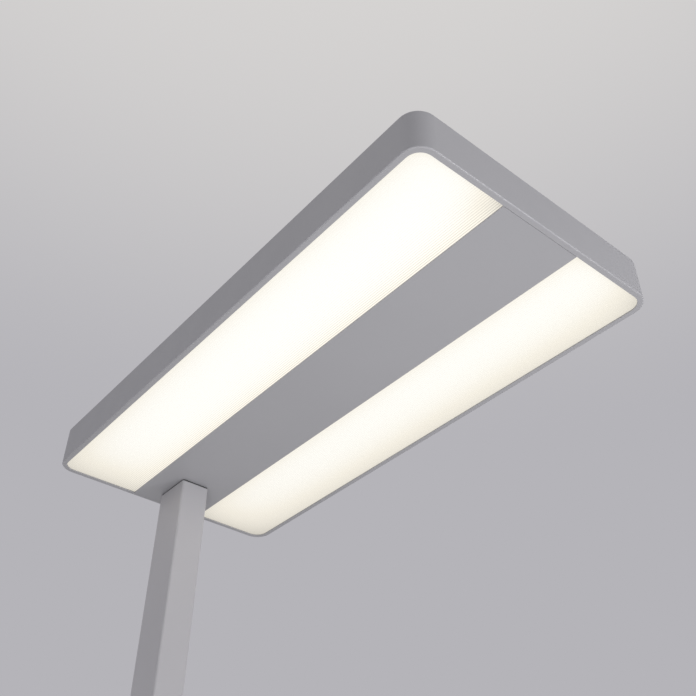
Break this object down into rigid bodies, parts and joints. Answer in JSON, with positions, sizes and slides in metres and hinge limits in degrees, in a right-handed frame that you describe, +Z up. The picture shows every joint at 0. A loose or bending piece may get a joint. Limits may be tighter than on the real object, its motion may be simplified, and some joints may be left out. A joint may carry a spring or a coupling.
{
  "type": "office floor lamp",
  "caption": "Office floor lamp: weighted plate, rectangular mast with a keypad, and a long flat head with two down-facing diffusers and uplights above.",
  "frame": {"origin": "on the floor under the mast's axis", "axes": "+Z up, +X along the head from the mast to its free end, +Y across the head, to the left when looking along +X"},
  "size_m": [0.742, 0.33, 1.95],
  "materials": {
    "head_paint": "silver-grey fine powder coat, satin",
    "mast_paint": "silver-grey fine powder coat, satin",
    "base_paint": "silver-grey fine powder coat, satin",
    "painted_screw": "silver-grey painted screws",
    "zinc_steel": "bright zinc-plated steel",
    "cast_alloy": "machined cast aluminium",
    "reflector_white": "matt white reflector paint",
    "prism_acrylic": "opal microprism acrylic, lit warm white",
    "clear_acrylic": "satin clear acrylic",
    "led_board": "white solder mask on an aluminium board",
    "led_chip": "yellow phosphor, lit",
    "control_circuit": "green solder mask",
    "driver_case": "white moulded driver case",
    "light_plastic": "light grey moulded plastic",
    "dark_plastic": "dark grey moulded plastic, fine spark texture",
    "key_plastic": "silver-grey painted keys",
    "black_rubber": "black rubber",
    "core_sheath": "insulated single cores",
    "dome_rubber": "translucent silicone"
  },
  "bodies": {
    "lamp": {"base_bolts": "zinc_steel", "base_mat": "black_rubber", "base_plate": "base_paint", "bezel_screws": "zinc_steel", "board_connector_left": "light_plastic", "board_connector_right": "light_plastic", "board_leads": "black_rubber", "board_screws": "zinc_steel", "cable_gland": "dark_plastic", "centre_strip": "head_paint", "control_board": "control_circuit", "control_lead": "black_rubber", "diffuser_left": "prism_acrylic", "diffuser_right": "prism_acrylic", "dimmer_domes": "dome_rubber", "driver_screws": "zinc_steel", "foot_block": "cast_alloy", "gland_nut": "dark_plastic", "head_block": "cast_alloy", "head_bolts": "zinc_steel", "head_frame": "head_paint", "keypad_back": "dark_plastic", "keypad_bezel": "dark_plastic", "lead_grommets": "black_rubber", "led_board_left": "led_board", "led_board_right": "led_board", "led_chips_left": "led_chip", "led_chips_right": "led_chip", "led_driver": "driver_case", "light_tray_left": "reflector_white", "light_tray_right": "reflector_white", "mains_cores": "core_sheath", "mast": "mast_paint", "mast_collar": "dark_plastic", "mast_screws": "zinc_steel", "mount_plate": "zinc_steel", "power_dome": "dome_rubber", "rocker_pin": "zinc_steel", "spine": "zinc_steel", "strip_nuts": "zinc_steel", "strip_studs": "zinc_steel", "terminal_block": "light_plastic", "terminal_screws": "zinc_steel", "top_plate": "head_paint", "top_screws": "painted_screw", "tray_screws": "zinc_steel", "uplight_board_left": "led_board", "uplight_board_right": "led_board", "uplight_chips_left": "led_chip", "uplight_chips_right": "led_chip", "uplight_cover_left": "clear_acrylic", "uplight_cover_right": "clear_acrylic"},
    "power_button": {"power_button": "key_plastic"},
    "dimmer_rocker": {"dimmer_rocker": "key_plastic"}
  },
  "joints": [
    {"name": "power_press", "type": "slide", "parent": "lamp", "child": "power_button", "axis": [-1, 0, 0], "range_m": [0, 0.0008], "stiffness_N_per_m": 2000, "deforming": ["power_dome"]},
    {"name": "dimmer_rock", "type": "hinge", "parent": "lamp", "child": "dimmer_rocker", "pos_m": [0.0275, 0, 1.088], "axis": [0, 1, 0], "range_deg": [-4, 4], "stiffness_Nm_per_rad": 0.6, "deforming": ["dimmer_domes"]}
  ]
}
